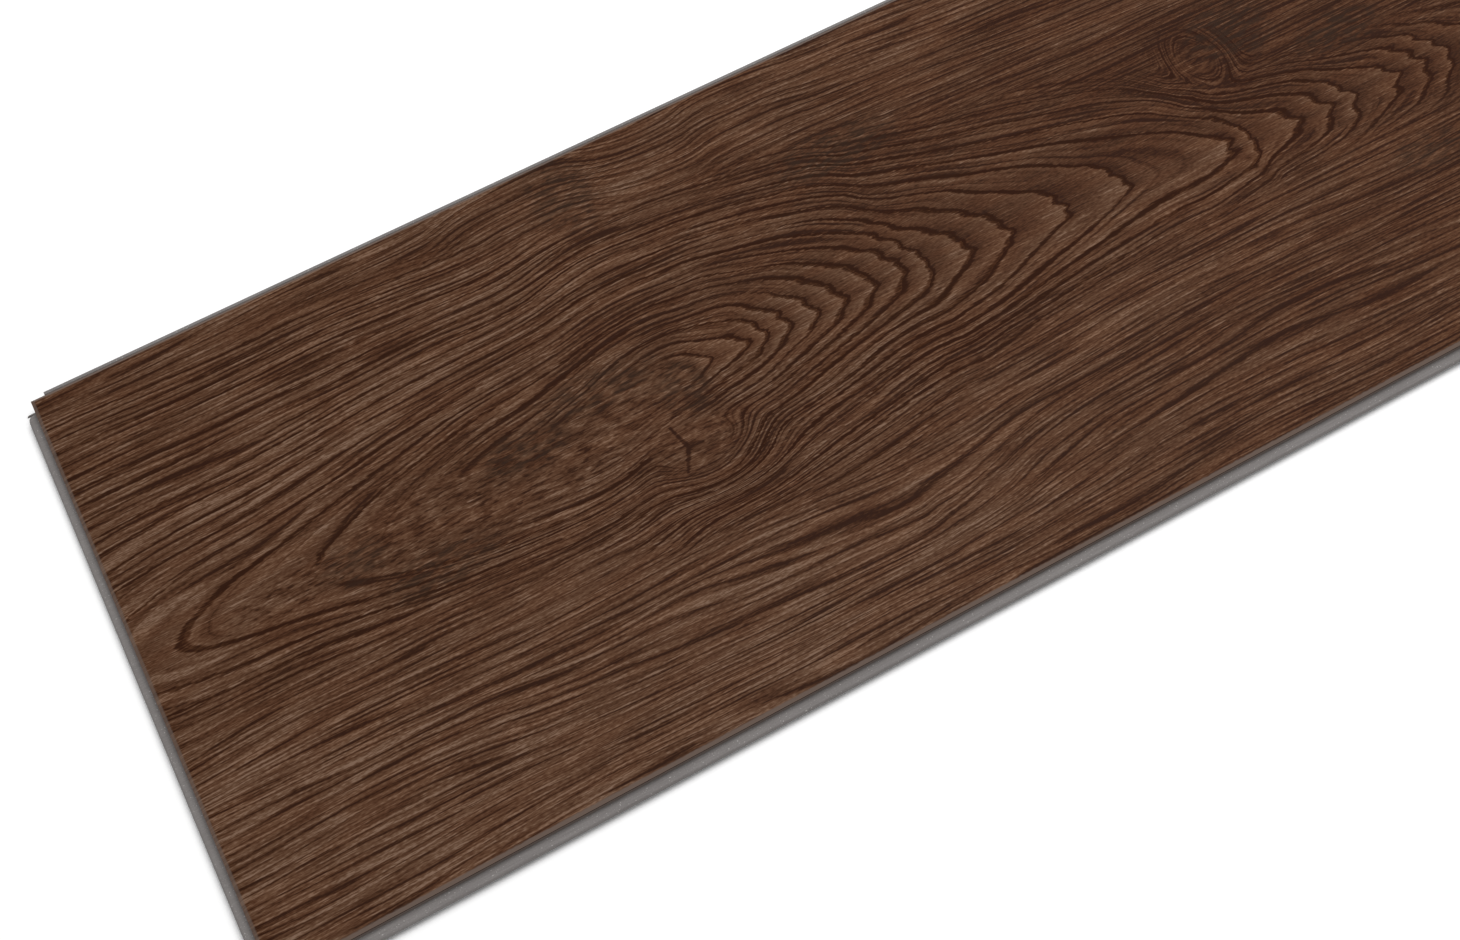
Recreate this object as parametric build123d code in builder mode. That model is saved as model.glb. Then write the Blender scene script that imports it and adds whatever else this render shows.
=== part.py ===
from build123d import *
import os

# Vinyl floor plank with click edges: a grey core board, and the printed decor layer bonded on it.
# Millimetres. X runs along the plank, Y across it, and Z up from the floor that it lies on.
# The origin is on the underside, below the middle of the printed face.

# Printed face, measured from joint line to joint line
face_length = 1220.0
face_width = 180.0

# Whole thickness, and the decor layer within it: its square edge and the bevel above that
plank_thickness = 5.0
decor_edge = 0.4
bevel_depth = 0.5
bevel_width = 1.05

# Tongue, along the -Y edge and the -X end
tongue_reach = 2.7
tongue_thickness = 1.4
tongue_top_round = 0.7
tongue_bottom_round = 0.3
tongue_corner_round = 2.4

# Locking lip with its bead, below the groove of the +Y edge and the +X end
lip_reach = 3.4
lip_thickness = 1.2
bead_height = 0.65
bead_top = 0.9
bead_flank = 0.35

# Play between two planks that are clicked together
play_over_tongue = 0.1
play_at_tongue_tip = 0.2
play_over_lip = 0.15
play_at_lip_end = 0.2
play_at_bead = 0.05

# Stock left around the blank before its edges are milled
milling_stock = 2.0

# Heights and depths that follow from the sizes above
core_top = plank_thickness - bevel_depth - decor_edge
tongue_bottom = lip_thickness + play_over_lip
tongue_top = tongue_bottom + tongue_thickness
groove_ceiling = tongue_top + play_over_tongue
groove_depth = tongue_reach + play_at_tongue_tip
recess_depth = lip_reach + play_at_lip_end
bead_inner = lip_reach - bead_top
bead_foot = bead_inner - bead_flank
bead_height_over_floor = lip_thickness + bead_height
notch_ceiling = bead_height_over_floor + play_over_lip

# Joint lines, and the outer limits of the waste that the milling takes away
half_length = face_length / 2
half_width = face_width / 2
over_core = core_top + milling_stock
under_core = -milling_stock
blank_overhang = max(tongue_reach, lip_reach) + milling_stock
past_blank = blank_overhang + milling_stock


def edge_plane(outward, joint_line):
    """Section plane across an edge: its x points out of the plank from the joint line, its y up."""
    return Plane(origin=outward * joint_line, x_dir=outward, z_dir=outward.cross(Vector(0, 0, 1)))


# Everything outside a tongue edge: above and round the tongue, and the lip's recess under it
tip_top_centre = (tongue_reach - tongue_top_round, tongue_top - tongue_top_round)
tip_bottom_centre = (tongue_reach - tongue_bottom_round, tongue_bottom + tongue_bottom_round)
with BuildSketch() as tongue_waste:
    with BuildLine():
        Polyline((0, over_core), (0, tongue_top), (tip_top_centre[0], tongue_top))
        CenterArc(tip_top_centre, tongue_top_round, 0, 90)
        Line((tongue_reach, tip_top_centre[1]), (tongue_reach, tip_bottom_centre[1]))
        CenterArc(tip_bottom_centre, tongue_bottom_round, 270, 90)
        Polyline(
            (tip_bottom_centre[0], tongue_bottom),
            (play_at_bead - bead_foot, tongue_bottom),
            (play_at_bead - bead_inner, notch_ceiling),
            (-recess_depth, notch_ceiling),
            (-recess_depth, under_core),
            (past_blank, under_core),
            (past_blank, over_core),
            (0, over_core),
        )
    make_face()

# Everything outside a groove edge: above and past the lip and its bead, and the groove itself
slot_top_centre = (tongue_top_round - groove_depth, groove_ceiling - tongue_top_round)
slot_bottom_centre = (tongue_bottom_round - groove_depth, lip_thickness + tongue_bottom_round)
with BuildSketch() as groove_waste:
    with BuildLine():
        Polyline((0, over_core), (0, groove_ceiling), (slot_top_centre[0], groove_ceiling))
        CenterArc(slot_top_centre, tongue_top_round, 90, 90)
        Line((-groove_depth, slot_top_centre[1]), (-groove_depth, slot_bottom_centre[1]))
        CenterArc(slot_bottom_centre, tongue_bottom_round, 180, 90)
        Polyline(
            (slot_bottom_centre[0], lip_thickness),
            (bead_foot, lip_thickness),
            (bead_inner, bead_height_over_floor),
            (lip_reach, bead_height_over_floor),
            (lip_reach, under_core),
            (past_blank, under_core),
            (past_blank, over_core),
            (0, over_core),
        )
    make_face()

# Directions out of the four edges, with the joint line's distance and a run that clears the blank
near_edge = (Vector(0, -1, 0), half_width, face_length)
left_end = (Vector(-1, 0, 0), half_length, face_width)
far_edge = (Vector(0, 1, 0), half_width, face_length)
right_end = (Vector(1, 0, 0), half_length, face_width)

# Plan corners where a tongue ends, and the way that each one points
tongue_tip_x = -half_length - tongue_reach
tongue_tip_y = -half_width - tongue_reach
tongue_corners = (
    (tongue_tip_x, tongue_tip_y, -1, -1),
    (tongue_tip_x, half_width - groove_depth, -1, 1),
    (half_length - groove_depth, tongue_tip_y, 1, -1),
)

# Core board, milled from a blank that stands proud of the joint lines all round
with BuildPart() as core_board:
    with BuildSketch():
        Rectangle(face_length + 2 * blank_overhang, face_width + 2 * blank_overhang)
    extrude(amount=core_top)
    for outward, joint_line, run in (near_edge, left_end):
        with BuildSketch(edge_plane(outward, joint_line)):
            add(tongue_waste.sketch)
        extrude(amount=run, both=True, mode=Mode.SUBTRACT)
    for outward, joint_line, run in (far_edge, right_end):
        with BuildSketch(edge_plane(outward, joint_line)):
            add(groove_waste.sketch)
        extrude(amount=run, both=True, mode=Mode.SUBTRACT)
    # Each lip stops where the recess of the tongue edge beside it begins
    with BuildSketch():
        with Locations((recess_depth - half_length, half_width)):
            Rectangle(recess_depth + past_blank, past_blank, align=(Align.MAX, Align.MIN))
        with Locations((half_length, recess_depth - half_width)):
            Rectangle(past_blank, recess_depth + past_blank, align=(Align.MIN, Align.MAX))
    extrude(amount=core_top, mode=Mode.SUBTRACT)
    # The tongues' ends are rounded in plan
    for corner_x, corner_y, way_x, way_y in tongue_corners:
        centre = (corner_x - way_x * tongue_corner_round, corner_y - way_y * tongue_corner_round)
        middle = (corner_x - way_x * tongue_corner_round / 2, corner_y - way_y * tongue_corner_round / 2)
        with BuildSketch(Plane.XY.offset(tongue_bottom)):
            with Locations(middle):
                Rectangle(tongue_corner_round, tongue_corner_round)
            with Locations(centre):
                Circle(tongue_corner_round, mode=Mode.SUBTRACT)
        extrude(amount=tongue_thickness, mode=Mode.SUBTRACT)

# Decor layer: printed film and clear wear coat, square at the joint line and bevelled above it
with BuildPart() as decor_layer:
    with BuildSketch(Plane.XY.offset(core_top)):
        Rectangle(face_length, face_width)
    extrude(amount=decor_edge)
    with BuildSketch(Plane.XY.offset(core_top + decor_edge)):
        Rectangle(face_length, face_width)
    with BuildSketch(Plane.XY.offset(plank_thickness)):
        Rectangle(face_length - 2 * bevel_width, face_width - 2 * bevel_width)
    loft()

core_board.part.label = "core_board"
decor_layer.part.label = "decor_layer"

os.makedirs("parts", exist_ok=True)
export_step(core_board.part, "parts/core_board.step")
export_step(decor_layer.part, "parts/decor_layer.step")
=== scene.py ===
import math

import bpy
from bpy.props import FloatProperty, FloatVectorProperty, IntProperty, PointerProperty
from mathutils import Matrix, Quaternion, Vector


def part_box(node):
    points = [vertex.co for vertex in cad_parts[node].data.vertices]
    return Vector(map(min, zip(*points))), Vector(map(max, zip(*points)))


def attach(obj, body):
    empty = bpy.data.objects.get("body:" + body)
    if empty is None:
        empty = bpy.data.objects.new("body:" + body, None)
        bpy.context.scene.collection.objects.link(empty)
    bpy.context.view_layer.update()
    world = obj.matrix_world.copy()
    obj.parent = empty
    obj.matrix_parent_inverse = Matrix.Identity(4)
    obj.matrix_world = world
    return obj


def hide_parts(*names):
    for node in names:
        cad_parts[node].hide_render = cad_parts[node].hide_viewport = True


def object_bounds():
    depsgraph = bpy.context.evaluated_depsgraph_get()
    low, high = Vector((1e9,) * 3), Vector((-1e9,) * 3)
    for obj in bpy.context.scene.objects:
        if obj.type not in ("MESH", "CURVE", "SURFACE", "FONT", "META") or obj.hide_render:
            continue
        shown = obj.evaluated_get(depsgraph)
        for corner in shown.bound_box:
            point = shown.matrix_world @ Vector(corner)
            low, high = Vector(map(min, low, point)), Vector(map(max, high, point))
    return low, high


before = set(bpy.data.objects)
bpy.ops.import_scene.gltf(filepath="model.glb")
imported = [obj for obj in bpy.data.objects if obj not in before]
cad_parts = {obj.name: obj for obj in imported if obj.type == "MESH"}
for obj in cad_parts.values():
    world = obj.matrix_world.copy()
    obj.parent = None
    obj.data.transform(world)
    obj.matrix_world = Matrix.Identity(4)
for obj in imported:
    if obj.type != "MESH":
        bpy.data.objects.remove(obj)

bl_info = {
    "name": "Vinyl Floor Plank",
    "version": (1, 0, 0),
    "blender": (4, 5, 0),
    "location": "3D View > Sidebar > Plank",
    "description": "Dresses a click floor plank: embossed wood-print face, milled grey core and studio stage",
    "category": "Object",
}

# The plank as the frame gives it, in metres
CAD_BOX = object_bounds()
MM = 0.001
FACE_LOW, FACE_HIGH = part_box("decor_layer")
CORE_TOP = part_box("core_board")[1].z

# Refractive index of vinyl, in the wear coat and in the core
VINYL_IOR = 1.46

# The wood figure. Its places are millimetres along the plank from the left joint line, and across it
# from the far one. Rings are counted outwards from the heart of the first eye.
# Ring that crosses the figure's middle line at each place along the plank, in a left and a right stretch
LEFT_RINGS = (
    (0, 8.35), (11, 8), (25, 7.65), (40, 7.25), (60, 6.4), (80, 5.1), (100, 3.6), (112, 2.8), (130, 1.2),
    (145, 0.3), (155, 1), (161, 2), (172, 3), (178, 4), (185, 5), (193, 6), (201, 7), (210, 8), (219, 9),
    (226, 10), (238, 11), (250, 12), (267, 13), (286, 14), (317, 15), (323, 16), (337, 17), (347, 18),
    (355, 19), (369, 20), (378, 21), (386, 22), (400, 23), (440, 24),
)
RIGHT_RINGS = (
    (440, 24), (480, 23), (520, 21), (570, 18.5), (630, 15.5), (700, 12), (760, 9), (810, 6.5), (850, 4),
    (875, 2), (890, 1), (905, 2.2), (920, 4), (940, 6), (965, 8), (995, 10), (1030, 12), (1070, 14),
    (1120, 16), (1170, 17.5), (1220, 18.5),
)
# Middle line of the figure across the plank
MIDDLE_LINE = (
    (0, 91), (110, 91), (160, 84), (200, 84), (225, 88), (286, 92), (317, 97), (386, 101), (520, 103),
    (640, 97), (760, 86), (880, 79), (960, 82), (1080, 89), (1220, 93),
)
# Distance from ring to ring on the far side of the middle line, and on its near side
FAR_PITCH = (
    (0, 4.1), (60, 3.9), (100, 3.7), (145, 3.4), (200, 3.25), (290, 3.1), (312, 2.3), (335, 1.7), (400, 1.8),
    (480, 3.0), (700, 3.2), (900, 3.4), (1220, 3.2),
)
NEAR_PITCH = (
    (0, 2.8), (60, 2.6), (145, 2.4), (250, 2.05), (300, 1.9), (330, 1.5), (400, 1.6), (480, 2.4), (700, 2.6),
    (900, 2.4), (1220, 2.8),
)
# Lines beyond which the grain runs straight, on the far side of the figure and on its near side
FAR_BOUND = (
    (0, 4), (100, 12), (150, 24), (200, 31), (260, 45), (300, 60), (340, 78), (400, 86), (440, 86), (520, 80),
    (620, 62), (720, 46), (820, 30), (890, 22), (960, 28), (1060, 40), (1220, 52),
)
NEAR_BOUND = (
    (0, 112), (60, 116), (110, 118), (150, 134), (175, 134), (220, 122), (300, 115), (340, 112), (400, 114),
    (440, 116), (560, 124), (700, 128), (860, 128), (920, 132), (1000, 122), (1100, 120), (1220, 122),
)
# How far the figure and the straight grain run into each other on either side of those lines
FAR_SEAM = 9.0
NEAR_SEAM = 8.0
# Course of the straight grain: how far its lines swing across the plank, on the far side and on the near side
FAR_COURSE = (
    (0, 2), (50, 1), (80, 0), (100, 0), (120, -3), (140, -5.5), (150, -5), (160, -2), (170, 1), (185, 2.5),
    (200, 0.5), (210, 0.5), (230, 2), (260, 4), (300, 7.5), (350, 12), (400, 16), (440, 18), (520, 14),
    (640, 8), (760, 3), (860, -3), (900, -4), (940, -1), (1000, 3), (1100, 6), (1220, 4),
)
NEAR_COURSE = (
    (0, 0), (40, 0), (60, 0.5), (80, 2.5), (100, 4.5), (120, 6), (150, 8), (170, 8.5), (190, 6.5), (210, 3),
    (230, 0), (270, -1), (330, -1), (400, 2), (440, 4), (520, 5), (600, 1), (700, -2), (800, 2), (880, 6),
    (940, 5), (1020, 0), (1120, -3), (1220, 0),
)
# Stretches across the plank in which the far swing fades, the near swing sets in and fades, and the grain
# begins to sway more
FAR_SWING_FADES = (30.0, 70.0)
NEAR_SWING_RISES = (124.0, 152.0)
NEAR_SWING_FADES = (158.0, 180.0)
SWAY_RISES = (108.0, 140.0)
# Knots: place along and across, stretch along, ring at the heart and pitch
KNOTS = ((147, 105, 1.6, 3.0, 1.6), (327, 66, 0.6, 15.5, 2.6), (905, 68, 1.4, 3.0, 1.6))
# Arms of the crack in the first knot, from its middle: place along and across at either end
CRACKS = ((144.5, 105, 143, 97.5), (144.5, 105, 148.5, 105.5), (144.5, 105, 141, 111.5))
# Tone of the wood along the plank. Its fall over the first 400 mm is painted shade, for light that falls off
# along the plank
TONE_AND_FALLOFF = (
    (0, 0.05), (100, 0.04), (170, 0.01), (240, -0.02), (320, -0.07), (400, -0.1), (500, -0.07), (620, 0.0),
    (760, 0.04), (880, -0.04), (980, 0.0), (1100, 0.05), (1220, 0.0),
)

# Patches of the face: place along and across, and reach along and across
# Where the rings of the knots are kept
KNOT_SPOTS = ((327, 68, 17, 16), (905, 68, 30, 22))
# Where the grain lines fade
FAINT_SPOTS = (
    (42, 91, 26, 7), (100, 91, 62, 15), (147, 105, 16, 11), (140, 84, 24, 10), (327, 66, 10, 10),
    (840, 80, 60, 10), (880, 80, 46, 14), (905, 68, 15, 10),
)
# Where the growth lines are bold
BOLD_SPOTS = ((26, 90, 36, 18), (228, 88, 80, 28), (312, 96, 44, 18), (620, 98, 120, 16), (960, 82, 70, 22))
# Where the wood is darker, and where it is lighter
DARK_SPOTS = (
    (18, 70, 24, 13), (70, 84, 80, 26), (185, 32, 28, 14), (270, 68, 130, 34), (380, 84, 90, 30),
    (610, 92, 120, 28), (900, 76, 90, 28),
)
LIGHT_SPOTS = (
    (40, 150, 74, 30), (56, 52, 74, 14), (205, 108, 44, 14), (700, 150, 120, 24), (1060, 40, 90, 24),
)
# Where the print is smudged grey
SMUDGES = (
    (57, 91, 11, 9), (76, 104, 20, 8), (108, 84, 16, 9), (132, 77, 22, 8), (152, 14, 12, 18),
    (152, 88, 10, 11), (360, 126, 14, 8), (366, 78, 18, 9), (340, 62, 17, 15), (224, 40, 26, 10),
    (560, 60, 34, 9), (742, 118, 30, 8), (892, 84, 26, 10),
)

# Names under which the face's points carry the smooth part of the figure: the ring at the point, its rise
# along the plank, rings per millimetre, share and course of the straight grain, faint and bold lines,
# smudges, broad tone with the painted falloff of the light, and warmth
FIGURE = (
    "grain_ring", "grain_lean", "grain_density", "grain_straight", "grain_course", "grain_faint",
    "grain_bold", "grain_smudge", "grain_tone", "grain_warm",
)
# Step in the noise from one grain line to the next, so that each has a strength of its own
LINE_STEP = 3.7
# Distance between the strokes of the straight grain, in millimetres
STROKE_SPACING = 2.1

# Spacing of the embossed face's columns: the end of each stretch and the step in it, in millimetres
COLUMN_STRETCHES = ((150, 3.0), (460, 1.6), (860, 3.4), (1000, 2.6), (1220, 5.2))


def srgb(red, green, blue):
    """Linear colour of a screen colour given in 0 to 255."""
    linear = []
    for level in (red / 255, green / 255, blue / 255):
        linear.append(level / 12.92 if level <= 0.04045 else ((level + 0.055) / 1.055) ** 2.4)
    return tuple(linear)


def opaque(colour):
    """Colour with full alpha, as node sockets take it."""
    return (*colour[:3], 1.0)


class Signal:
    """A number that a node tree works out. Arithmetic on it adds Math nodes to the tree."""

    def __init__(self, bench, socket):
        self.bench = bench
        self.socket = socket

    def __add__(self, other):
        return self.bench.math("ADD", self, other)

    def __radd__(self, other):
        return self.bench.math("ADD", other, self)

    def __sub__(self, other):
        return self.bench.math("SUBTRACT", self, other)

    def __rsub__(self, other):
        return self.bench.math("SUBTRACT", other, self)

    def __mul__(self, other):
        return self.bench.math("MULTIPLY", self, other)

    def __rmul__(self, other):
        return self.bench.math("MULTIPLY", other, self)

    def __truediv__(self, other):
        return self.bench.math("DIVIDE", self, other)

    def __rtruediv__(self, other):
        return self.bench.math("DIVIDE", other, self)

    def __gt__(self, other):
        return self.bench.math("GREATER_THAN", self, other)

    def __lt__(self, other):
        return self.bench.math("LESS_THAN", self, other)

    def __abs__(self):
        return self.bench.math("ABSOLUTE", self)


class Bench:
    """A node tree that is being wired: it makes nodes, sets them up and links them."""

    def __init__(self, tree):
        self.tree = tree

    def node(self, kind, settings=None, sockets=None):
        """A node of this type, with its settings made first and then its sockets fed."""
        node = self.tree.nodes.new(kind)
        for name, setting in (settings or {}).items():
            if name == "stops":
                set_stops(node.color_ramp, setting)
            elif name == "points":
                set_points(node.mapping, setting)
            else:
                setattr(node, name, setting)
        for name, value in (sockets or {}).items():
            self.feed(find_socket(node.inputs, name), value)
        return node

    def feed(self, socket, value):
        """Links a signal or an output to the socket, or sets a plain value on it."""
        if isinstance(value, Signal):
            value = value.socket
        if isinstance(value, bpy.types.NodeSocket):
            self.tree.links.new(value, socket)
        else:
            socket.default_value = value

    def signal(self, node, output=0):
        """The number that a node gives at this output."""
        return Signal(self, find_socket(node.outputs, output))

    def math(self, operation, *terms):
        """What a Math node makes of the terms."""
        return self.signal(self.node("ShaderNodeMath", {"operation": operation}, dict(enumerate(terms))))

    def least(self, first, second):
        return self.math("MINIMUM", first, second)

    def most(self, first, second):
        return self.math("MAXIMUM", first, second)

    def clamp(self, value):
        """The value held between 0 and 1."""
        return self.least(self.most(value, 0.0), 1.0)

    def slant(self, first, second):
        """Length of the straight way across two lengths at right angles."""
        return self.math("SQRT", first * first + second * second)

    def step(self, low, high, value):
        """Smooth rise from 0 at low to 1 at high."""
        sockets = {"Value": value, "From Min": low, "From Max": high}
        return self.signal(self.node("ShaderNodeMapRange", {"interpolation_type": "SMOOTHSTEP"}, sockets))

    def mix(self, factor, first, second):
        """Number between two numbers."""
        return first + (second - first) * factor

    def blend(self, factor, first, second, kind="MIX"):
        """Colour between two colours."""
        settings = {"data_type": "RGBA", "blend_type": kind}
        sockets = {"Factor_Float": factor, "A_Color": first, "B_Color": second}
        return find_socket(self.node("ShaderNodeMix", settings, sockets).outputs, "Result_Color")

    def ramp(self, value, stops):
        """Colour at this place in a row of stops."""
        return self.node("ShaderNodeValToRGB", {"stops": stops}, {"Fac": value}).outputs["Color"]

    def vector(self, x, y, z=0.0):
        return self.node("ShaderNodeCombineXYZ", None, {"X": x, "Y": y, "Z": z}).outputs[0]

    def parts(self, vector):
        """The three numbers of a vector."""
        node = self.node("ShaderNodeSeparateXYZ", None, {"Vector": vector})
        return [self.signal(node, axis) for axis in "XYZ"]

    def noise(self, along, across, seed, detail=0.0):
        """Smooth noise from 0 to 1, which changes about once in a unit of either coordinate.

        So along / 14 gives patches about 14 mm long. The seed moves it to a place of its own."""
        shift_along, shift_across = 37.3 * seed, 91.7 * seed
        place = self.vector(along + shift_along, across + shift_across)
        sockets = {"Vector": place, "Scale": 1.0, "Detail": detail}
        return self.signal(self.node("ShaderNodeTexNoise", {"noise_dimensions": "2D"}, sockets))

    def profile(self, value, points):
        """Smooth curve through the given points, level beyond its ends."""
        first, last = points[0][0], points[-1][0]
        low = min(height for place, height in points)
        high = max(height for place, height in points)
        run, rise = last - first, high - low
        scaled = [((place - first) / run, (height - low) / rise) for place, height in points]
        node = self.node("ShaderNodeFloatCurve", {"points": scaled}, {"Value": (value - first) * (1 / run)})
        return self.signal(node) * rise + low


def find_socket(sockets, name):
    """Socket by its number, its identifier or its name."""
    if isinstance(name, int):
        return sockets[name]
    for socket in sockets:
        if socket.identifier == name:
            return socket
    return sockets[name]


def set_stops(ramp, stops):
    """Gives a colour ramp its stops, as pairs of place and colour."""
    while len(ramp.elements) < len(stops):
        ramp.elements.new(0.5)
    for element, (place, colour) in zip(ramp.elements, stops):
        element.position = place
        element.color = opaque(colour)


def set_points(mapping, points):
    """Gives a float curve its points, as pairs in 0 to 1."""
    mapping.extend = "HORIZONTAL"
    curve = mapping.curves[0]
    while len(curve.points) < len(points):
        curve.points.new(0.5, 0.5)
    for point, place in zip(curve.points, points):
        point.location = place
        point.handle_type = "AUTO_CLAMPED"
    mapping.update()


def spot(bench, along, across, place_along, place_across, reach_along, reach_across):
    """Soft oval spot: 1 at its middle, 0 beyond its reach."""
    away = (along - place_along) * (1 / reach_along)
    aside = (across - place_across) * (1 / reach_across)
    return 1 - bench.step(0.15, 1.0, away * away + aside * aside)


def spots(bench, along, across, places):
    """Soft oval spots, the strongest one where they overlap."""
    marks = spot(bench, along, across, *places[0])
    for place in places[1:]:
        marks = bench.most(marks, spot(bench, along, across, *place))
    return marks


def wood_figure(bench, along, across):
    """The smooth part of the wood figure, as one signal for each of FIGURE's names."""
    swing = bench.step(*SWAY_RISES, across) * 6.0 + 2.0
    sway = (bench.noise(along / 90, across / 24, seed=1) - 0.5) * swing
    sway = sway + (bench.noise(along / 40, across / 7, seed=2) - 0.5) * 1.6
    swayed = across + sway

    # Rings round the middle line, as ovals whose ends it cuts
    def middle_ring(place):
        return bench.profile(place, LEFT_RINGS) + bench.profile(place, RIGHT_RINGS) - RIGHT_RINGS[0][1]

    slope_span = 3.0
    least_ring = 0.5
    least_density = 0.06
    heart = middle_ring(along)
    slope = (middle_ring(along + slope_span) - heart) / slope_span
    off = swayed - bench.profile(along, MIDDLE_LINE)
    pitch = bench.mix(off > 0, bench.profile(along, FAR_PITCH), bench.profile(along, NEAR_PITCH))
    side = off / pitch
    ring = bench.slant(heart, side)
    crossing = bench.most(ring, least_ring)
    lean = heart * slope / crossing
    fall = side / pitch / crossing
    density = bench.most(bench.slant(lean, fall), least_density)

    # The knots' own rings, which run into the others
    knot_blend = 3.0
    for knot_along, knot_across, stretch, knot_ring, knot_pitch in KNOTS:
        reach = (along - knot_along) * (1 / stretch)
        drop = swayed - knot_across
        knot = bench.slant(reach, drop) * (1 / knot_pitch) + knot_ring
        ring = bench.math("SMOOTH_MIN", ring, knot, knot_blend)

    # Straight grain on either side of the figure
    far = 1 - bench.step(-FAR_SEAM, FAR_SEAM, swayed - bench.profile(along, FAR_BOUND))
    near = bench.step(-NEAR_SEAM, NEAR_SEAM, swayed - bench.profile(along, NEAR_BOUND))
    knotted = spots(bench, along, across, KNOT_SPOTS)
    straight = bench.most(far, near) * (1 - knotted)
    far_swing = bench.profile(along, FAR_COURSE) * (1 - bench.step(*FAR_SWING_FADES, across))
    near_share = bench.step(*NEAR_SWING_RISES, across) * (1 - bench.step(*NEAR_SWING_FADES, across))
    near_swing = near_share * bench.profile(along, NEAR_COURSE)
    course = swayed - far_swing - near_swing

    # Patches of the print
    faint = spots(bench, along, across, FAINT_SPOTS)
    bold = spots(bench, along, across, BOLD_SPOTS)
    smudge = spots(bench, along, across, SMUDGES)
    # The tone along the plank holds painted shade: the wood darkens as the light falls off along it
    tone_and_falloff = bench.profile(along, TONE_AND_FALLOFF)
    broad = (bench.noise(along / 130, across / 20, seed=11) - 0.5) * 0.24 + tone_and_falloff
    broad = broad - spots(bench, along, across, DARK_SPOTS) * 0.12
    broad = broad + spots(bench, along, across, LIGHT_SPOTS) * 0.09
    warm = bench.step(0.35, 0.65, bench.noise(along / 26, across / 5, seed=30, detail=1.0)) * 0.7
    # The warmth follows the painted falloff, growing where it darkens the wood
    warm = warm - tone_and_falloff * 4.5 + knotted * 0.4
    return dict(zip(FIGURE, (ring, lean, density, straight, course, faint, bold, smudge, broad, warm)))


def strokes(bench, along, count, spacing, ragged, seed):
    """Dark strokes at the whole numbers of a wavering count, and the count's place from stroke to stroke."""
    count = count + (bench.noise(along / 50, count * 0.55, seed) - 0.5) * 1.5
    number = bench.math("ROUND", count)
    strength = bench.noise(along / 38, number * LINE_STEP, seed + 1)
    distance = abs(count - number) * spacing + ragged * 0.24
    width = bench.least(bench.step(0.35, 0.75, strength) * 0.5 + 0.12, spacing * 0.32)
    weight = bench.step(0.35, 0.6, strength) * 0.8 + 0.2
    dark = (1 - bench.step(width * 0.4, width * 1.15, distance)) * weight
    return dark, bench.math("FRACT", count) - 0.5


class Grain:
    """Grain of the face, worked out from its figure."""

    def __init__(self, bench, along, across, figure):
        lean = figure["grain_lean"]
        density = figure["grain_density"]
        straight = figure["grain_straight"]
        bold = figure["grain_bold"]
        clear = 1 - figure["grain_faint"] * 0.9
        upright = bench.step(0.3, 0.75, abs(lean) / density)
        self.ragged = bench.noise(along / 4, across / 0.5, seed=7) - 0.5

        # Growth lines at the whole rings, jogged along the plank where they cross the fibres
        jogs = (bench.noise(along / 45, across / 3.0, seed=3) - 0.5) * 4.0
        jogs = jogs + (bench.noise(along / 14, across / 0.8, seed=4) - 0.5) * 1.1
        ring = figure["grain_ring"] + jogs * lean * (upright * 0.7 + 0.3)
        number = bench.math("ROUND", ring)
        distance = abs(ring - number) / density + self.ragged * 0.7
        strength = bench.noise(along / 50, number * LINE_STEP, seed=6)
        width = bench.least(strength * 0.8 + upright * 0.4 + bold * 0.4, 0.3 / density)
        weight = bench.step(0.25, 0.5, strength + upright * 0.3) * 0.6 + 0.4 + bold * 0.4
        weight = bench.least(weight, 1.0) * clear * (1 - straight)
        self.line = (1 - bench.step(width * 0.45, width * 1.1, distance)) * weight
        # Lighter towards each growth line: partly the print's tone across the ring, partly a painted
        # highlight beside the embossed line
        self.ring_tone_and_highlight = (bench.math("FRACT", ring) - 0.5) * upright * clear * (1 - straight)

        # Strokes, two to a ring or evenly spaced in the straight grain
        course = figure["grain_course"]
        ringed, ringed_tone_and_highlight = strokes(bench, along, ring * 2.0, 0.5 / density, self.ragged, seed=8)
        level, level_tone_and_highlight = strokes(
            bench, along, course / STROKE_SPACING, STROKE_SPACING, self.ragged, seed=18)
        shown = (1 - upright) * clear * (1 - bold * 0.6)
        self.stroke = bench.mix(straight, ringed, level) * shown
        # Lighter towards each stroke: partly the print's tone, partly a painted highlight beside the embossed
        # stroke
        self.stroke_tone_and_highlight = bench.mix(straight, ringed_tone_and_highlight, level_tone_and_highlight) * shown

        # Thinner strands, which follow the rings or the straight grain
        ringed_strand = bench.noise(along / 22, ring * 6.0, seed=28)
        level_strand = bench.noise(along / 22, course / 0.55, seed=29)
        strand = bench.mix(straight, ringed_strand, level_strand)
        self.strand = (1 - bench.step(0.33, 0.43, strand + self.ragged * 0.16)) * shown
        self.strand_side = (strand - 0.5) * (1 - upright) * clear


def crack_gap(bench, along, across):
    """Distance in millimetres from the nearest arm of the knot's crack, whose arms taper."""
    nearest = None
    for from_along, from_across, to_along, to_across in CRACKS:
        run, rise = to_along - from_along, to_across - from_across
        share = ((along - from_along) * run + (across - from_across) * rise) * (1 / (run * run + rise * rise))
        share = bench.clamp(share)
        away = along - from_along - share * run
        aside = across - from_across - share * rise
        gap = bench.slant(away, aside) + share * 0.3
        nearest = gap if nearest is None else bench.least(nearest, gap)
    return nearest


def face_place(bench, position):
    """Millimetres along the plank from the left joint line, across it from the far one, and up."""
    x, y, z = bench.parts(position)
    along = (x - FACE_LOW.x) * (1 / MM)
    across = (FACE_HIGH.y - y) * (1 / MM)
    return along, across, z * (1 / MM)


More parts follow.
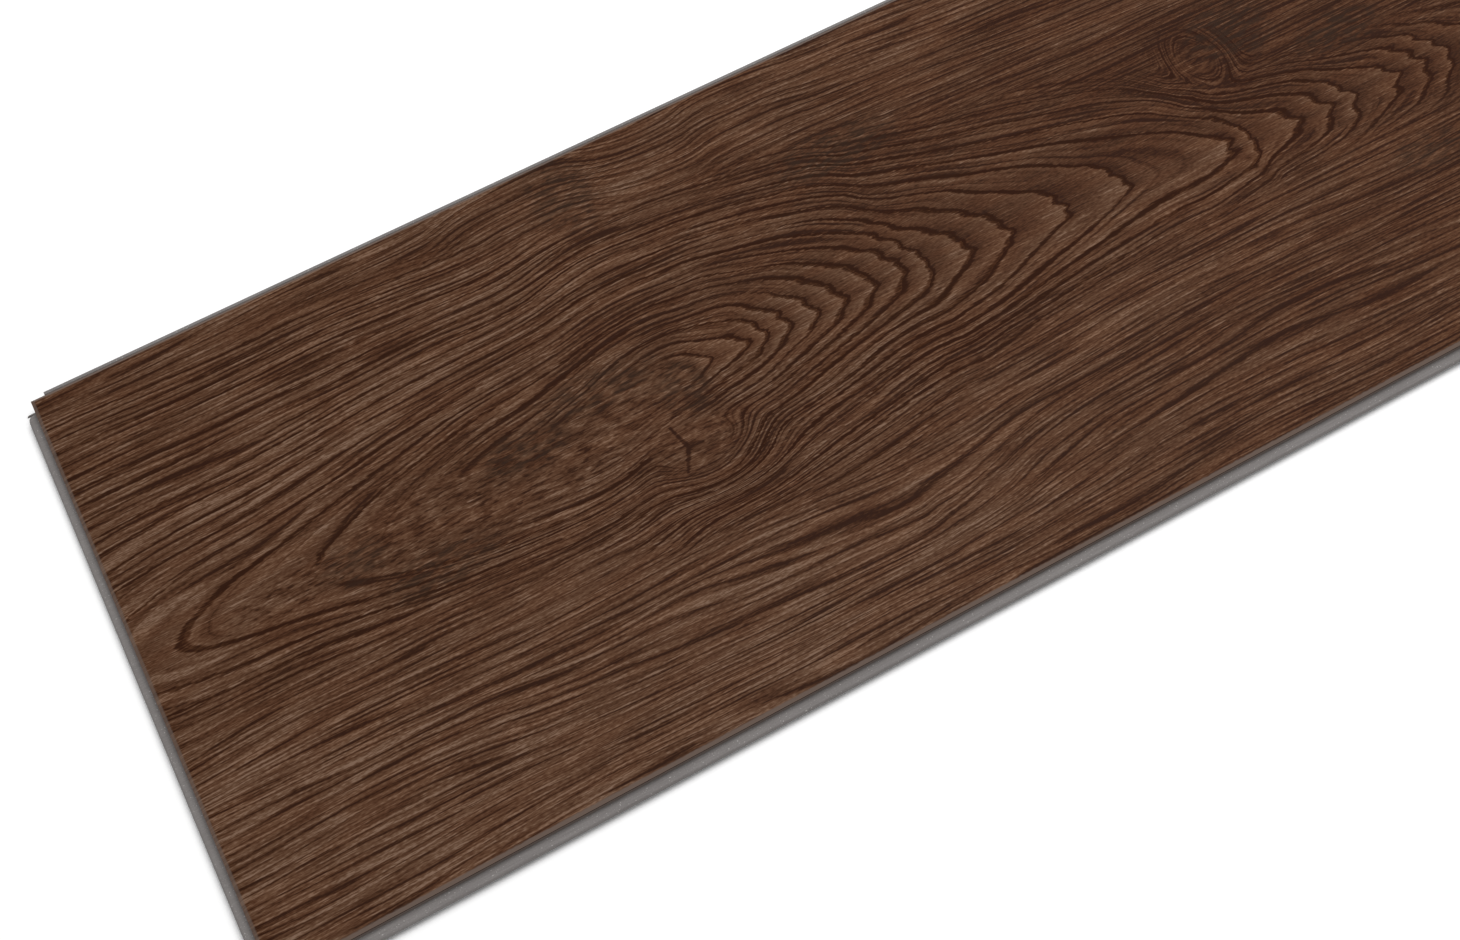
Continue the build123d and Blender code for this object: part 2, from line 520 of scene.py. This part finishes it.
def new_material(name):
    """Material of this name, and the bench for its empty node tree."""
    material = bpy.data.materials.new(name)
    material.use_nodes = True
    material.node_tree.nodes.clear()
    return material, Bench(material.node_tree)


def vinyl_surface(bench, colour, roughness, sheen, bump):
    """Matt vinyl with this colour, roughness, strength of reflection and bump, as the material's surface."""
    shader = bench.node("ShaderNodeBsdfPrincipled", None, {
        "Base Color": colour, "Roughness": roughness, "IOR": VINYL_IOR, "Specular IOR Level": sheen,
        "Normal": bump.outputs[0],
    })
    bench.node("ShaderNodeOutputMaterial", None, {"Surface": shader.outputs[0]})


def decor_material(settings):
    """Brown wood print under a matt wear coat, with a painted bevel round it."""
    material, bench = new_material("wood_print")
    position = bench.node("ShaderNodeTexCoord").outputs["Object"]
    along, across, height = face_place(bench, position)
    figure = {}
    for name in FIGURE:
        carried = bench.node("ShaderNodeAttribute", {"attribute_name": name})
        figure[name] = bench.signal(carried, "Fac")
    faint = figure["grain_faint"]

    # Fine marks of the print, and painted glints: thin streaks of painted highlight along the grain
    grain = Grain(bench, along, across, figure)
    fibre = bench.noise(along / 14, across / 0.55, seed=12, detail=1.0)
    fine = bench.noise(along / 1.2, across / 0.27, seed=13)
    pores = bench.step(0.64, 0.72, bench.noise(along / 2.6, across / 0.34, seed=14))
    painted_glint = bench.step(0.72, 0.8, bench.noise(along / 9, across / 0.3, seed=15))
    smudge = bench.step(0.35, 0.65, bench.noise(along / 5, across / 1.4, seed=16, detail=1.0))
    smudge = smudge * figure["grain_smudge"]
    mottle = (bench.noise(along / 7, across / 2.2, seed=20, detail=2.0) - 0.5) * faint
    flecks = bench.step(0.54, 0.64, bench.noise(along / 5, across / 0.9, seed=24, detail=1.0))
    flecks = flecks * (faint * 0.8 + 0.15)
    crack = 1 - bench.step(0.3, 0.95, crack_gap(bench, along, across) + grain.ragged * 0.4)

    # How much each of them lightens or darkens the wood
    marks = (
        (fibre - 0.5, 0.52), (fine - 0.5, 0.48), (grain.ring_tone_and_highlight, 0.6), (grain.stroke_tone_and_highlight, 0.4),
        (grain.strand_side, 0.4), (mottle, 1.1), (painted_glint, 0.3), (flecks, -0.36), (crack, -0.6),
        (smudge, -0.24), (pores, -0.14), (grain.line, -settings.line_strength),
        (grain.stroke, -settings.stroke_strength), (grain.strand, -settings.strand_strength),
    )
    tone = figure["grain_tone"] + settings.tone
    for mark, weight in marks:
        tone = tone + mark * weight
    print_colour = bench.ramp(tone, (
        (0.0, settings.line_colour), (0.25, settings.dark_colour), (0.5, settings.middle_colour),
        (0.75, settings.light_colour), (1.0, settings.pale_colour),
    ))
    print_colour = bench.blend(figure["grain_warm"], print_colour, opaque(settings.warm_colour), "MULTIPLY")
    print_colour = bench.blend(smudge * 0.32, print_colour, opaque(settings.smudge_colour))

    # Paint on the bevel, and the bare edge below it. The paint is thinned on the end bevels as painted shade,
    # which darkens them as if turned from the light
    outline = face_outline()
    bevel = outline.bevel_width / MM
    bevel_foot = outline.bevel_foot / MM
    from_end = bench.least(along, outline.length / MM - along)
    from_side = bench.least(across, outline.width / MM - across)
    from_joint = bench.least(from_end, from_side) + (fine - 0.5) * 0.25
    paint = 1 - bench.step(bevel - 0.35, bevel + 0.1, from_joint)
    # Painted shade: the end bevels get less paint and show the darker print
    at_end = from_side > from_end
    colour = bench.blend(paint * (1 - at_end * 0.35), print_colour, opaque(settings.bevel_colour))
    edge = 1 - bench.step(bevel_foot - 0.06, bevel_foot + 0.02, height)
    colour = bench.blend(edge, colour, opaque(settings.edge_colour))

    relief = (fibre - 0.5) * 0.5 + (fine - 0.5) * 0.3 + grain.strand_side * 0.6
    bump = bench.node("ShaderNodeBump", None, {
        "Strength": 1.0, "Distance": settings.bump_depth, "Height": relief * (1 - paint),
    })
    roughness = 0.55 + grain.line * 0.12 + (fibre - 0.5) * 0.15 + paint * 0.1
    vinyl_surface(bench, colour, roughness, sheen=0.08, bump=bump)
    return material


def grit(bench, position, scale, detail):
    """Grains as fine as the scale, from 0 to 1."""
    sockets = {"Vector": position, "Scale": scale, "Detail": detail}
    return bench.signal(bench.node("ShaderNodeTexNoise", None, sockets))


def core_material(settings):
    """Matt grey stone-filled vinyl: fine speckle, milling marks, and paint run down under the face."""
    material, bench = new_material("grey_core")
    position = bench.node("ShaderNodeTexCoord").outputs["Object"]
    along, across, height = face_place(bench, position)
    speckle = grit(bench, position, scale=2600.0, detail=1.0)
    chips = bench.step(0.78, 0.8, grit(bench, position, scale=3000.0, detail=0.0))
    cloud = bench.noise(along / 40, across / 12 + height / 3, seed=21, detail=1.0)

    # Milling marks run along each edge
    normal = bench.node("ShaderNodeNewGeometry").outputs["Normal"]
    at_end = abs(bench.parts(normal)[0]) > 0.5
    run = bench.mix(at_end, along, across)
    inwards = bench.mix(at_end, across, along)
    milling = bench.noise(run / 9, height / 0.14 + inwards / 0.3, seed=22, detail=1.0)

    tone = 0.5 + (speckle - 0.5) * 0.5 + (cloud - 0.5) * 0.3 + (milling - 0.5) * 0.4
    colour = bench.ramp(tone, (
        (0.0, settings.dark_colour), (0.5, settings.grey_colour), (1.0, settings.pale_colour),
    ))
    colour = bench.blend(chips * 0.7, colour, opaque(settings.chip_colour))
    top = CORE_TOP / MM
    run_down = bench.step(top - 1.25, top - 1.0, height + (cloud - 0.5) * 0.2)
    colour = bench.blend(run_down * 0.85, colour, opaque(settings.paint_colour))
    bump = bench.node("ShaderNodeBump", None, {
        "Strength": 0.6, "Distance": settings.bump_depth, "Height": speckle + milling,
    })
    roughness = 0.62 + (speckle - 0.5) * 0.2
    vinyl_surface(bench, colour, roughness, sheen=0.5, bump=bump)
    return material


class FaceOutline:
    """Sizes of the decor layer in metres: bevel, the heights of its steps, and its whole extent."""

    def __init__(self, mesh):
        heights = sorted({round(vertex.co.z, 6) for vertex in mesh.vertices})
        self.foot, self.bevel_foot, self.top = heights
        reach = max(vertex.co.x for vertex in mesh.vertices if vertex.co.z > self.top - MM / 100)
        self.bevel_width = FACE_HIGH.x - reach
        self.length = FACE_HIGH.x - FACE_LOW.x
        self.width = FACE_HIGH.y - FACE_LOW.y


def face_outline():
    return FaceOutline(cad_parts["decor_layer"].data)


def column_places():
    """Share of the columns against share of the length, from the stretches, and the count of columns."""
    places = [(0.0, 0.0)]
    count = 0.0
    start = 0.0
    for end, spacing in COLUMN_STRETCHES:
        count += (end - start) / spacing
        places.append((count, end))
        start = end
    return [(columns / count, end / start) for columns, end in places], count


def store(bench, source, name, value):
    """Keeps a number on every point of the geometry under this name."""
    settings = {"data_type": "FLOAT", "domain": "POINT"}
    sockets = {"Geometry": source.outputs[0], "Name": name, "Value": value}
    return bench.node("GeometryNodeStoreNamedAttribute", settings, sockets)


def read(bench, name):
    """The number that the points carry under this name."""
    return bench.signal(bench.node("GeometryNodeInputNamedAttribute", {"data_type": "FLOAT"}, {"Name": name}))


def per_face(bench, value):
    """The value at each face's middle."""
    settings = {"data_type": "FLOAT", "domain": "FACE"}
    return bench.signal(bench.node("GeometryNodeFieldOnDomain", settings, {"Value": value}))


def point_place(bench):
    """The three coordinates of each point, in metres."""
    return bench.parts(bench.node("GeometryNodeInputPosition").outputs[0])


def laid_out(bench, size, column_curve):
    """Grid of the layer's columns and rows, laid in place.

    The outermost one is the foot of the edge, the next the foot of the bevel, the third the face's rim."""
    last_column = size["Columns"] - 1
    last_row = size["Rows"] - 1
    grid = bench.node("GeometryNodeMeshGrid", None, {
        "Vertices X": size["Columns"], "Vertices Y": size["Rows"], "Size X": last_column, "Size Y": last_row,
    })
    x, y, z = point_place(bench)
    column = x + last_column * 0.5
    row = y + last_row * 0.5
    column_share = bench.clamp((column - 2) / (last_column - 4))
    row_share = bench.clamp((row - 2) / (last_row - 4))
    from_end = bench.least(column, last_column - column)
    from_side = bench.least(row, last_row - row)
    inward = bench.least(from_end, from_side)

    def laid(number, last, extent, share):
        outward = (number > last - 1.5) - (number < 1.5)
        return (share - 0.5) * (extent - size["Bevel Width"] * 2) + outward * size["Bevel Width"]

    edge_height = size["Bevel Foot"] - size["Foot"]
    bevel_height = size["Top"] - size["Bevel Foot"]
    place = bench.vector(
        laid(column, last_column, size["Length"], bench.profile(column_share, column_curve)),
        laid(row, last_row, size["Width"], row_share),
        size["Foot"] + (inward > 0.5) * edge_height + (inward > 1.5) * bevel_height,
    )
    numbered = store(bench, grid, "grain_inward", inward)
    return bench.node("GeometryNodeSetPosition", None, {"Geometry": numbered.outputs[0], "Position": place})


def pressed(bench, shaped, size):
    """The layer with its figure stored on its points, and the grain lines pressed down into its face."""
    along, across, height = face_place(bench, bench.node("GeometryNodeInputPosition").outputs[0])
    carrier = shaped
    for name, value in wood_figure(bench, along, across).items():
        carrier = store(bench, carrier, name, value)
    grain = Grain(bench, along, across, {name: read(bench, name) for name in FIGURE})
    groove = bench.most(grain.line, grain.stroke * 0.7)
    on_face = read(bench, "grain_inward") > 2.5
    press = bench.vector(0.0, 0.0, groove * on_face * size["Groove Depth"] * -1.0)
    return bench.node("GeometryNodeSetPosition", None, {"Geometry": carrier.outputs[0], "Offset": press})


def closed_below(bench, embossed, size):
    """The layer closed by its underside, with a smooth face and flat bevels and edges."""
    bevel_height = size["Top"] - size["Bevel Foot"]
    is_face = point_place(bench)[2] > size["Top"] - bevel_height * 0.4
    smooth = bench.node("GeometryNodeSetShadeSmooth", None, {
        "Geometry": embossed.outputs[0], "Shade Smooth": is_face,
    })
    rim = bench.signal(bench.node("GeometryNodeInputMeshEdgeNeighbors")) < 1.5
    loop = bench.node("GeometryNodeMeshToCurve", None, {"Mesh": embossed.outputs[0], "Selection": rim})
    fill = bench.node("GeometryNodeFillCurve", {"mode": "NGONS"}, {"Curve": loop.outputs[0]})
    placed = bench.node("GeometryNodeSetPosition", None, {
        "Geometry": fill.outputs[0], "Offset": bench.vector(0.0, 0.0, size["Foot"]),
    })
    underside = bench.node("GeometryNodeFlipFaces", None, {"Mesh": placed.outputs[0]})
    flat = bench.node("GeometryNodeSetShadeSmooth", None, {
        "Geometry": underside.outputs[0], "Shade Smooth": False,
    })
    joined = bench.node("GeometryNodeJoinGeometry")
    bench.feed(joined.inputs[0], smooth.outputs[0])
    bench.feed(joined.inputs[0], flat.outputs[0])
    return bench.node("GeometryNodeMergeByDistance", None, {
        "Geometry": joined.outputs[0], "Distance": 0.001 * MM,
    })


def bake_map(bench, source, size):
    """Map for baking: the layer with its edge folded out, in two strips, and the underside in a thin band."""
    fold_out = 1.0 * MM
    overlap = 6.0 * MM
    near_zero = 0.01 * MM
    # Shares of the map: the margin beside the strips, and the heights and places of strips and band
    margin = 0.002
    strip_height, strip_foot, strip_step = 0.48, 0.005, 0.49
    band_height, band_foot = 0.01, 0.985

    half_length = size["Length"] * 0.5
    half_width = size["Width"] * 0.5
    x, y, z = point_place(bench)
    up = bench.parts(bench.node("GeometryNodeInputNormal").outputs[0])[2]
    second = per_face(bench, x) > 0.0
    under = per_face(bench, up) < -0.5
    low = z < (size["Foot"] + size["Bevel Foot"]) * 0.5
    folded_x = x + ((x > half_length - near_zero) - (x < near_zero - half_length)) * low * fold_out
    folded_y = y + ((y > half_width - near_zero) - (y < near_zero - half_width)) * low * fold_out
    start = bench.mix(second, half_length + fold_out, overlap)
    strip_x = (folded_x + start) / (half_length + fold_out + overlap) * (1 - 2 * margin) + margin
    strip_y = (folded_y + half_width + fold_out) / (size["Width"] + 2 * fold_out) * strip_height
    strip_y = strip_y + second * strip_step + strip_foot
    place = bench.vector(
        bench.mix(under, strip_x, x / size["Length"] + 0.5),
        bench.mix(under, strip_y, (y / size["Width"] + 0.5) * band_height + band_foot),
    )
    settings = {"data_type": "FLOAT2", "domain": "CORNER"}
    sockets = {"Geometry": source.outputs[0], "Name": "OFBake", "Value": place}
    return bench.node("GeometryNodeStoreNamedAttribute", settings, sockets)


def decor_tree(settings, material):
    """Geometry tree of the decor layer, and the values of its inputs."""
    tree = bpy.data.node_groups.new("embossed_decor", "GeometryNodeTree")
    tree.is_modifier = True
    outline = face_outline()
    column_curve, face_columns = column_places()
    folded_columns = 4
    sizes = {
        "Length": outline.length, "Width": outline.width, "Bevel Width": outline.bevel_width,
        "Bevel Foot": outline.bevel_foot, "Top": outline.top, "Foot": outline.foot,
        "Groove Depth": settings.groove_depth,
    }
    counts = {"Columns": int(face_columns) + 1 + folded_columns, "Rows": settings.rows}
    for name in sizes:
        tree.interface.new_socket(name, in_out="INPUT", socket_type="NodeSocketFloat")
    for name in counts:
        tree.interface.new_socket(name, in_out="INPUT", socket_type="NodeSocketInt")
    tree.interface.new_socket("Decor", in_out="OUTPUT", socket_type="NodeSocketGeometry")

    bench = Bench(tree)
    entry = bench.node("NodeGroupInput")
    size = {name: bench.signal(entry, name) for name in (*sizes, *counts)}
    embossed = pressed(bench, laid_out(bench, size, column_curve), size)
    mapped = bake_map(bench, closed_below(bench, embossed, size), size)
    real = bench.node("GeometryNodeRealizeInstances", None, {"Geometry": mapped.outputs[0]})
    dressed = bench.node("GeometryNodeSetMaterial", None, {"Geometry": real.outputs[0], "Material": material})
    bench.node("NodeGroupOutput", None, {"Decor": dressed.outputs[0]})
    return tree, {**sizes, **counts}


def grown(name, tree, values):
    """Object whose plain mesh is what the geometry tree makes from these inputs."""
    piece = bpy.data.objects.new(name, bpy.data.meshes.new(name))
    bpy.context.scene.collection.objects.link(piece)
    modifier = piece.modifiers.new("shape", "NODES")
    modifier.node_group = tree
    for item in tree.interface.items_tree:
        if item.item_type == "SOCKET" and item.in_out == "INPUT":
            modifier[item.identifier] = values[item.name]
    depsgraph = bpy.context.evaluated_depsgraph_get()
    mesh = bpy.data.meshes.new_from_object(piece.evaluated_get(depsgraph))
    piece.modifiers.clear()
    piece.data = mesh
    mesh.name = name
    return piece


def colour_setting(name, description, default):
    """Setting for a colour."""
    return FloatVectorProperty(
        name=name, description=description, subtype="COLOR", size=3, min=0, max=1, default=default)


def share_setting(name, description, default):
    """Setting for a share from 0 to 1."""
    return FloatProperty(name=name, description=description, subtype="FACTOR", min=0, max=1, default=default)


def length_setting(name, description, default):
    """Setting for a length in metres."""
    return FloatProperty(
        name=name, description=description, subtype="DISTANCE", unit="LENGTH", min=0, default=default)


def place_setting(name, description, default):
    """Setting for a place in metres."""
    return FloatVectorProperty(
        name=name, description=description, subtype="TRANSLATION", unit="LENGTH", size=3, default=default)


class PlankDecorSettings(bpy.types.PropertyGroup):
    """Print, emboss and paint of the decor layer."""

    line_colour: colour_setting("Line", "Darkest grain lines of the print", srgb(42, 17, 2))
    dark_colour: colour_setting("Dark", "Dark wood of the print", srgb(63, 36, 18))
    middle_colour: colour_setting("Middle", "Middle wood tone of the print", srgb(82, 53, 35))
    light_colour: colour_setting("Light", "Light wood of the print", srgb(99, 71, 52))
    pale_colour: colour_setting("Pale", "Palest streaks of the print", srgb(129, 102, 84))
    smudge_colour: colour_setting("Smudge", "Greyish smudges of the print", srgb(52, 41, 31))
    warm_colour: colour_setting("Warmth", "Tint of the warmer patches of the print", (1.0, 0.89, 0.79))
    bevel_colour: colour_setting("Bevel paint", "Paint on the bevel", srgb(108, 92, 83))
    edge_colour: colour_setting("Layer edge", "Cut edge of the decor layer", srgb(52, 36, 27))
    tone: share_setting("Tone", "Place of the plain wood between the darkest and the palest colour", 0.615)
    line_strength: share_setting("Line strength", "How dark the grain lines are printed", 0.6)
    stroke_strength: share_setting("Stroke strength", "How dark the long strokes are printed", 0.52)
    strand_strength: share_setting("Strand strength", "How dark the thin strands are printed", 0.2)
    groove_depth: length_setting("Emboss depth", "Depth of the embossed grain lines", 0.12 * MM)
    bump_depth: length_setting("Fine relief", "Depth of the finest grain of the wear coat", 0.06 * MM)
    rows: IntProperty(
        name="Rows", description="Rows of the embossed face across the plank", min=8, max=400, default=210)


class PlankCoreSettings(bpy.types.PropertyGroup):
    """Colours and relief of the core board."""

    dark_colour: colour_setting("Dark", "Dark grains of the core", srgb(98, 94, 91))
    grey_colour: colour_setting("Grey", "Main grey of the core", srgb(121, 116, 114))
    pale_colour: colour_setting("Pale", "Pale grains of the core", srgb(142, 138, 135))
    chip_colour: colour_setting("Chips", "Tiny white chips of the mineral filler", srgb(200, 197, 192))
    paint_colour: colour_setting("Paint run", "Bevel paint that ran down the edge", srgb(100, 86, 78))
    bump_depth: length_setting("Fine relief", "Depth of the speckle and the milling marks", 0.04 * MM)


class PlankStageSettings(bpy.types.PropertyGroup):
    """Camera, light and floor."""

    camera_place: place_setting("Camera", "Place of the camera", (-0.54944, -0.26760, 0.42635))
    camera_aim: place_setting("Aim", "Point that the camera looks at", (-0.45971, -0.02645, 0.005))
    camera_roll: FloatProperty(
        name="Roll", description="Turn of the camera about its line of sight", subtype="ANGLE",
        default=math.radians(-9.29))
    camera_angle: FloatProperty(
        name="View angle", description="Angle of view from side to side", subtype="ANGLE",
        default=math.radians(40.856))
    floor_colour: colour_setting("Floor", "Colour of the floor", (0.8, 0.8, 0.8))
    floor_white: FloatProperty(
        name="Floor white", description="Whiteness of the floor where the camera sees it", min=0, max=2,
        default=1.2)
    floor_lift: FloatProperty(
        name="Floor lift", description="White added to the floor far from the plank where the camera sees it",
        min=0, max=2, default=0.6)
    floor_lift_reach: length_setting("Lift reach", "Distance from the plank at which the lift is full", 0.7)
    sky_level: FloatProperty(
        name="Sky", description="Strength of the even light from all round", min=0, default=0.4)
    lamp_power: FloatProperty(
        name="Lamp power", description="Power of the large lamp overhead", subtype="POWER", unit="POWER",
        min=0, default=18.5)
    lamp_size: length_setting("Lamp size", "Side of the square lamp", 1.2)
    lamp_place: place_setting("Lamp", "Place of the lamp", (0.05, 0.22, 1.6))
    lamp_aim: place_setting("Lamp aim", "Point that the lamp faces", (-0.4, 0.0, 0.0))


class PLANK_OT_decor_layer(bpy.types.Operator):
    """Embossed and printed decor layer, in place of the plain one"""

    bl_idname = "plank.decor_layer"
    bl_label = "Decor Layer"

    def execute(self, context):
        settings = context.scene.plank_decor
        tree, values = decor_tree(settings, decor_material(settings))
        piece = grown("embossed_decor", tree, values)
        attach(piece, "root")
        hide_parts("decor_layer")
        return {"FINISHED"}


class PLANK_OT_core_board(bpy.types.Operator):
    """Finish of the grey core board"""

    bl_idname = "plank.core_board"
    bl_label = "Core Board"

    def execute(self, context):
        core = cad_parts["core_board"]
        core.data.materials.clear()
        core.data.materials.append(core_material(context.scene.plank_core))
        return {"FINISHED"}


class PLANK_OT_stage(bpy.types.Operator):
    """Floor, light and camera"""

    bl_idname = "plank.stage"
    bl_label = "Stage"

    def execute(self, context):
        settings = context.scene.plank_stage
        context.scene.view_settings.view_transform = "Standard"
        make_floor(settings)
        make_light(settings)
        make_camera(settings)
        return {"FINISHED"}


def seen_ray(bench):
    """1 for rays from the camera, and for what shiny or clear surfaces show of the stage."""
    path = bench.node("ShaderNodeLightPath")
    seen = bench.signal(path, "Is Camera Ray")
    for output in ("Is Glossy Ray", "Is Transmission Ray"):
        seen = bench.most(seen, bench.signal(path, output))
    return seen


def make_floor(settings):
    """Wide white floor just under the plank."""
    reach = 8.0
    gap = 0.02 * MM
    height = CAD_BOX[0].z - gap
    ways = ((-1, -1), (1, -1), (1, 1), (-1, 1))
    corners = [(way_x * reach, way_y * reach, height) for way_x, way_y in ways]
    mesh = bpy.data.meshes.new("floor")
    mesh.from_pydata(corners, [], [(0, 1, 2, 3)])
    floor = bpy.data.objects.new("floor", mesh)
    bpy.context.scene.collection.objects.link(floor)
    material, bench = new_material("white_floor")
    seen = seen_ray(bench)
    white = bench.blend(seen, opaque(settings.floor_colour), opaque((settings.floor_white,) * 3))
    shader = bench.node("ShaderNodeBsdfDiffuse", None, {"Color": white})
    x, y, z = bench.parts(bench.node("ShaderNodeTexCoord").outputs["Object"])
    past_end = bench.most(abs(x) - CAD_BOX[1].x, 0.0)
    past_side = bench.most(abs(y) - CAD_BOX[1].y, 0.0)
    away = bench.step(0.0, settings.floor_lift_reach, bench.slant(past_end, past_side))
    lift = bench.node("ShaderNodeEmission", None, {"Color": seen * away * settings.floor_lift})
    both = bench.node("ShaderNodeAddShader", None, {0: shader.outputs[0], 1: lift.outputs[0]})
    bench.node("ShaderNodeOutputMaterial", None, {"Surface": both.outputs[0]})
    mesh.materials.append(material)


def make_light(settings):
    """Even light from all round, and one large soft lamp overhead."""
    world = bpy.data.worlds.new("studio")
    world.use_nodes = True
    world.node_tree.nodes.clear()
    bench = Bench(world.node_tree)
    level = bench.mix(seen_ray(bench), settings.sky_level, 1.0)
    light = bench.node("ShaderNodeBackground", None, {"Color": (1.0, 1.0, 1.0, 1.0), "Strength": level})
    bench.node("ShaderNodeOutputWorld", None, {"Surface": light.outputs[0]})
    bpy.context.scene.world = world
    lamp = bpy.data.lights.new("overhead", "AREA")
    lamp.shape = "RECTANGLE"
    lamp.size = settings.lamp_size
    lamp.size_y = settings.lamp_size
    lamp.energy = settings.lamp_power
    holder = bpy.data.objects.new("overhead", lamp)
    holder.location = settings.lamp_place
    aim = Vector(settings.lamp_aim) - Vector(settings.lamp_place)
    holder.rotation_euler = aim.to_track_quat("-Z", "Y").to_euler()
    bpy.context.scene.collection.objects.link(holder)


def make_camera(settings):
    """Camera above the left end, looking down along the plank."""
    lens = bpy.data.cameras.new("view")
    lens.sensor_fit = "HORIZONTAL"
    lens.lens_unit = "FOV"
    lens.angle = settings.camera_angle
    lens.clip_start = 0.01
    lens.clip_end = 100.0
    camera = bpy.data.objects.new("view", lens)
    camera.location = settings.camera_place
    sight = Vector(settings.camera_aim) - Vector(settings.camera_place)
    level = sight.to_track_quat("-Z", "Y")
    camera.rotation_euler = (level @ Quaternion((0, 0, 1), settings.camera_roll)).to_euler()
    bpy.context.scene.collection.objects.link(camera)
    bpy.context.scene.camera = camera


class PLANK_PT_panel(bpy.types.Panel):
    """Sidebar panel of the plank"""

    bl_idname = "PLANK_PT_panel"
    bl_label = "Floor Plank"
    bl_space_type = "VIEW_3D"
    bl_region_type = "UI"
    bl_category = "Plank"

    def draw(self, context):
        for operator, settings in (
            (PLANK_OT_decor_layer, context.scene.plank_decor),
            (PLANK_OT_core_board, context.scene.plank_core),
            (PLANK_OT_stage, context.scene.plank_stage),
        ):
            box = self.layout.box()
            for name in settings.__annotations__:
                box.prop(settings, name)
            box.operator(operator.bl_idname)


SETTINGS = {
    "plank_decor": PlankDecorSettings,
    "plank_core": PlankCoreSettings,
    "plank_stage": PlankStageSettings,
}
CLASSES = (*SETTINGS.values(), PLANK_OT_decor_layer, PLANK_OT_core_board, PLANK_OT_stage, PLANK_PT_panel)


def register():
    for item in CLASSES:
        bpy.utils.register_class(item)
    for name, group in SETTINGS.items():
        setattr(bpy.types.Scene, name, PointerProperty(type=group))


def unregister():
    for name in SETTINGS:
        delattr(bpy.types.Scene, name)
    for item in reversed(CLASSES):
        bpy.utils.unregister_class(item)


def main():
    register()
    bpy.ops.plank.decor_layer()
    bpy.ops.plank.core_board()
    bpy.ops.plank.stage()


if __name__ == "__main__":
    main()
